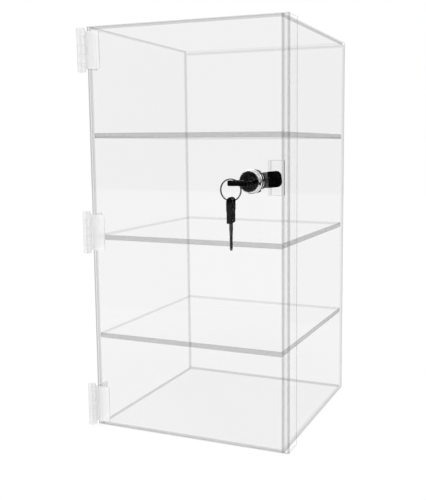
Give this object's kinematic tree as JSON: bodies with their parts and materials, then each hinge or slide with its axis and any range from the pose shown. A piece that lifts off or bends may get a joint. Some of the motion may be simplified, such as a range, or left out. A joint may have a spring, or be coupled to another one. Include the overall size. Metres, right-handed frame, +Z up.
{
  "type": "locking countertop cabinet",
  "caption": "Clear countertop display case with fixed shelves and a side-hinged door that locks with a keyed cam lock.",
  "frame": {"origin": "centre of the case's underside, between its side panels and between its front edges and its back", "axes": "+Z up, -Y to the front where the door is, +X to the right as seen from the front, where the lock is"},
  "size_m": [0.261, 0.2908, 0.4826],
  "materials": {
    "clear_sheet": "clear cast acrylic, polished edges",
    "shelf_sheet": "clear cast acrylic, thicker sheet",
    "clear_block": "clear cast acrylic block",
    "hinge_plastic": "clear moulded acrylic",
    "hinge_rod": "clear rod",
    "plated_metal": "bright plated",
    "black_face": "black, satin",
    "brass_wafer": "stamped",
    "spring_steel": "drawn wire",
    "zinc_steel": "zinc plated",
    "black_sleeve": "moulded black",
    "key_steel": "nickel plated, milled",
    "black_bow": "moulded black",
    "ring_steel": "bright plated wire"
  },
  "bodies": {
    "cabinet": {"left_side_panel": "clear_sheet", "right_side_panel": "clear_sheet", "back_panel": "clear_sheet", "top_panel": "clear_sheet", "bottom_panel": "clear_sheet", "lower_shelf": "shelf_sheet", "middle_shelf": "shelf_sheet", "upper_shelf": "shelf_sheet", "strike_block": "clear_block", "body_hinge_leaf_top": "hinge_plastic", "body_hinge_leaf_middle": "hinge_plastic", "body_hinge_leaf_bottom": "hinge_plastic", "hinge_pin_top": "hinge_rod", "hinge_pin_middle": "hinge_rod", "hinge_pin_bottom": "hinge_rod"},
    "door": {"door_panel": "clear_sheet", "door_return": "clear_sheet", "door_hinge_leaf_top": "hinge_plastic", "door_hinge_leaf_middle": "hinge_plastic", "door_hinge_leaf_bottom": "hinge_plastic", "lock_housing": "plated_metal", "lock_face": "black_face", "lock_washer": "plated_metal", "lock_nut": "plated_metal"},
    "plug": {"lock_plug": "black_face", "lock_wafers": "brass_wafer", "wafer_springs": "spring_steel", "lock_cam": "zinc_steel", "cam_sleeve": "black_sleeve", "cam_washer": "zinc_steel", "cam_screw": "zinc_steel"},
    "key": {"key_blade": "key_steel", "key_bow": "black_bow"},
    "ring": {"key_ring": "ring_steel"},
    "spare_key": {"spare_key_blade": "key_steel", "spare_key_bow": "black_bow"}
  },
  "joints": [
    {"name": "door_swing", "type": "hinge", "parent": "cabinet", "child": "door", "pos_m": [-0.1271, -0.1279, 0.2413], "axis": [0, 0, -1], "range_deg": [0, 240]},
    {"name": "lock_turn", "type": "hinge", "parent": "door", "child": "plug", "pos_m": [0.0861, -0.1, 0.3055], "axis": [0, 1, 0], "range_deg": [0, 90]},
    {"name": "key_slide", "type": "slide", "parent": "plug", "child": "key", "axis": [0, -1, 0], "range_m": [0, 0.024]},
    {"name": "ring_turn", "type": "hinge", "parent": "key", "child": "ring", "pos_m": [0.0776, -0.16015, 0.29827], "axis": [0, 1, 0], "range_deg": [-30, 30]},
    {"name": "spare_key_swing", "type": "hinge", "parent": "ring", "child": "spare_key", "pos_m": [0.0776, -0.16015, 0.28677], "axis": [1, 0, 0], "range_deg": [-30, 35]}
  ]
}
